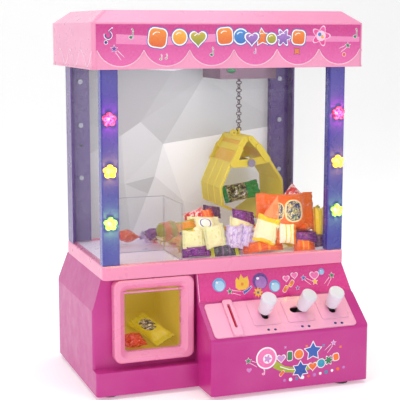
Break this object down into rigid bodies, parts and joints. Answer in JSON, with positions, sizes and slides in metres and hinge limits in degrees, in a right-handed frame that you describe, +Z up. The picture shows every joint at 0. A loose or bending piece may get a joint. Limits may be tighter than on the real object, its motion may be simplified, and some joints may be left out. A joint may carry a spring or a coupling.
{
  "type": "claw crane machine",
  "caption": "Toy claw crane machine: a pink tabletop cabinet with a hanging two-jaw claw on a gantry, three joysticks, a prize chute and a flap door.",
  "frame": {"origin": "middle of the machine on the surface that its feet stand on", "axes": "+X to the right seen from the front, +Y to the back, +Z up"},
  "size_m": [0.2828, 0.204, 0.379],
  "materials": {
    "casing_magenta": "gloss",
    "trim_pink": "gloss",
    "inner_black": "matte",
    "battery_wrap": "gloss",
    "foot_rubber": "matte",
    "screw_steel": "gloss",
    "board_green": "satin",
    "console_print": "gloss",
    "clear_plastic": "gloss",
    "chute_olive": "satin",
    "deck_lilac": "satin",
    "post_violet": "gloss",
    "led_lens": "gloss",
    "back_print": "gloss",
    "marquee_print": "gloss",
    "rail_steel": "satin",
    "trolley_plastic": "satin",
    "claw_yellow": "satin",
    "pin_grey": "satin",
    "sweet_wrap": "gloss",
    "knob_white": "gloss"
  },
  "bodies": {
    "root": {"back_panel": "back_print", "back_posts": "post_violet", "base_casing": "casing_magenta", "base_plate": "casing_magenta", "batteries": "battery_wrap", "battery_box": "inner_black", "battery_door": "casing_magenta", "ceiling_plate": "post_violet", "chute_guard": "clear_plastic", "circuit_board": "board_green", "coin_bar": "trim_pink", "coin_box": "inner_black", "coin_chute": "inner_black", "console_sticker": "console_print", "control_plate": "trim_pink", "front_pane": "clear_plastic", "front_posts": "post_violet", "front_sticker": "console_print", "guide_rails": "rail_steel", "joystick_brackets": "inner_black", "led_lenses": "led_lens", "marquee_sticker": "marquee_print", "play_deck": "deck_lilac", "power_switch_body": "inner_black", "prize_chute": "chute_olive", "prize_door_frame": "trim_pink", "prize_door_pin": "screw_steel", "rail_brackets": "inner_black", "roof_canopy": "trim_pink", "rubber_feet": "foot_rubber", "screws": "screw_steel", "side_panes": "clear_plastic", "speaker": "inner_black", "sweets_in_chute": "sweet_wrap", "sweets_pile": "sweet_wrap", "tray_frame": "trim_pink"},
    "gantry": {"gantry_bridge": "trolley_plastic", "gantry_motor": "rail_steel"},
    "gantry_drive": {"gantry_axle": "rail_steel"},
    "trolley": {"trolley_housing": "trolley_plastic", "trolley_motors": "rail_steel"},
    "trolley_wheels_left": {"trolley_axle_left": "rail_steel"},
    "trolley_wheels_right": {"trolley_axle_right": "rail_steel"},
    "drum": {"hoist_drum": "inner_black"},
    "claw": {"claw_chain": "rail_steel", "claw_head": "claw_yellow"},
    "claw_hub": {"hub_pin": "pin_grey"},
    "jaw_left": {"claw_jaw_left": "claw_yellow", "grabbed_sweet": "sweet_wrap"},
    "jaw_right": {"claw_jaw_right": "claw_yellow"},
    "link_left": {"claw_link_left": "claw_yellow"},
    "link_right": {"claw_link_right": "claw_yellow"},
    "door": {"prize_door": "clear_plastic"},
    "power_slider": {"power_switch_knob": "inner_black"},
    "joystick_1": {"joystick_lever_1": "inner_black", "joystick_knob_1": "knob_white"},
    "joystick_2": {"joystick_lever_2": "inner_black", "joystick_knob_2": "knob_white"},
    "joystick_3": {"joystick_lever_3": "inner_black", "joystick_knob_3": "knob_white"}
  },
  "joints": [
    {"name": "gantry_slide", "type": "slide", "parent": "root", "child": "gantry", "axis": [0, 1, 0], "range_m": [-0.056, 0.004]},
    {"name": "gantry_drive_spin", "type": "hinge", "parent": "gantry", "child": "gantry_drive", "pos_m": [0, 0.078, 0.34415], "axis": [1, 0, 0], "range_deg": [-46.5, 642.5]},
    {"name": "trolley_slide", "type": "slide", "parent": "gantry", "child": "trolley", "axis": [-1, 0, 0], "range_m": [-0.024, 0.126]},
    {"name": "trolley_wheels_left_spin", "type": "hinge", "parent": "trolley", "child": "trolley_wheels_left", "pos_m": [0.0292, 0.04, 0.34315], "axis": [0, 1, 0], "range_deg": [-1806, 345]},
    {"name": "trolley_wheels_right_spin", "type": "hinge", "parent": "trolley", "child": "trolley_wheels_right", "pos_m": [0.0732, 0.04, 0.34315], "axis": [0, 1, 0], "range_deg": [-1806, 345]},
    {"name": "claw_hoist", "type": "slide", "parent": "trolley", "child": "claw", "axis": [0, 0, 1], "range_m": [-0.022, 0.036], "deforming": ["sweets_pile"]},
    {"name": "drum_spin", "type": "hinge", "parent": "trolley", "child": "drum", "pos_m": [0.0512, 0.0505, 0.326], "axis": [1, 0, 0], "range_deg": [-313.5, 192]},
    {"name": "claw_grip", "type": "slide", "parent": "claw", "child": "claw_hub", "axis": [0.0872, 0, -0.9962], "range_m": [0, 0.0045]},
    {"name": "jaw_left_hinge", "type": "hinge", "parent": "claw_hub", "child": "jaw_left", "pos_m": [0.05249, 0.04, 0.2198], "axis": [0, 1, 0], "range_deg": [-0.1, 15.1]},
    {"name": "jaw_right_hinge", "type": "hinge", "parent": "claw_hub", "child": "jaw_right", "pos_m": [0.05249, 0.04, 0.2198], "axis": [0, 1, 0], "range_deg": [-15.1, 0.1]},
    {"name": "link_left_hinge", "type": "hinge", "parent": "claw", "child": "link_left", "pos_m": [0.0467, 0.04, 0.24469], "axis": [0, 1, 0], "range_deg": [-24.1, 0.1]},
    {"name": "link_right_hinge", "type": "hinge", "parent": "claw", "child": "link_right", "pos_m": [0.05387, 0.04, 0.24532], "axis": [0, 1, 0], "range_deg": [-0.1, 24.1]},
    {"name": "prize_door_hinge", "type": "hinge", "parent": "root", "child": "door", "pos_m": [-0.0785, -0.0586, 0.1058], "axis": [-1, 0, 0], "range_deg": [0, 75]},
    {"name": "power_switch_slide", "type": "slide", "parent": "root", "child": "power_slider", "axis": [1, 0, 0], "range_m": [0, 0.0045]},
    {"name": "joystick_1_tilt", "type": "hinge", "parent": "root", "child": "joystick_1", "pos_m": [0.031, -0.06367, 0.0573], "axis": [1, 0, 0], "range_deg": [-9, 9]},
    {"name": "joystick_2_tilt", "type": "hinge", "parent": "root", "child": "joystick_2", "pos_m": [0.0685, -0.06367, 0.0573], "axis": [0, 0.7975, 0.6033], "range_deg": [-17.5, 0.5]},
    {"name": "joystick_3_tilt", "type": "hinge", "parent": "root", "child": "joystick_3", "pos_m": [0.106, -0.06367, 0.0573], "axis": [1, 0, 0], "range_deg": [-9, 9]}
  ],
  "couplings": [
    {"joint": "gantry_drive_spin", "follows": "gantry_slide", "rad_per_m": -200},
    {"joint": "trolley_wheels_left_spin", "follows": "trolley_slide", "rad_per_m": -250},
    {"joint": "trolley_wheels_right_spin", "follows": "trolley_slide", "rad_per_m": -250},
    {"joint": "drum_spin", "follows": "claw_hoist", "rad_per_m": -150},
    {"joint": "jaw_left_hinge", "follows": "claw_grip", "rad_per_m": 58.178},
    {"joint": "jaw_right_hinge", "follows": "claw_grip", "rad_per_m": -58.178},
    {"joint": "link_left_hinge", "follows": "claw_grip", "rad_per_m": -93.084},
    {"joint": "link_right_hinge", "follows": "claw_grip", "rad_per_m": 93.084}
  ]
}
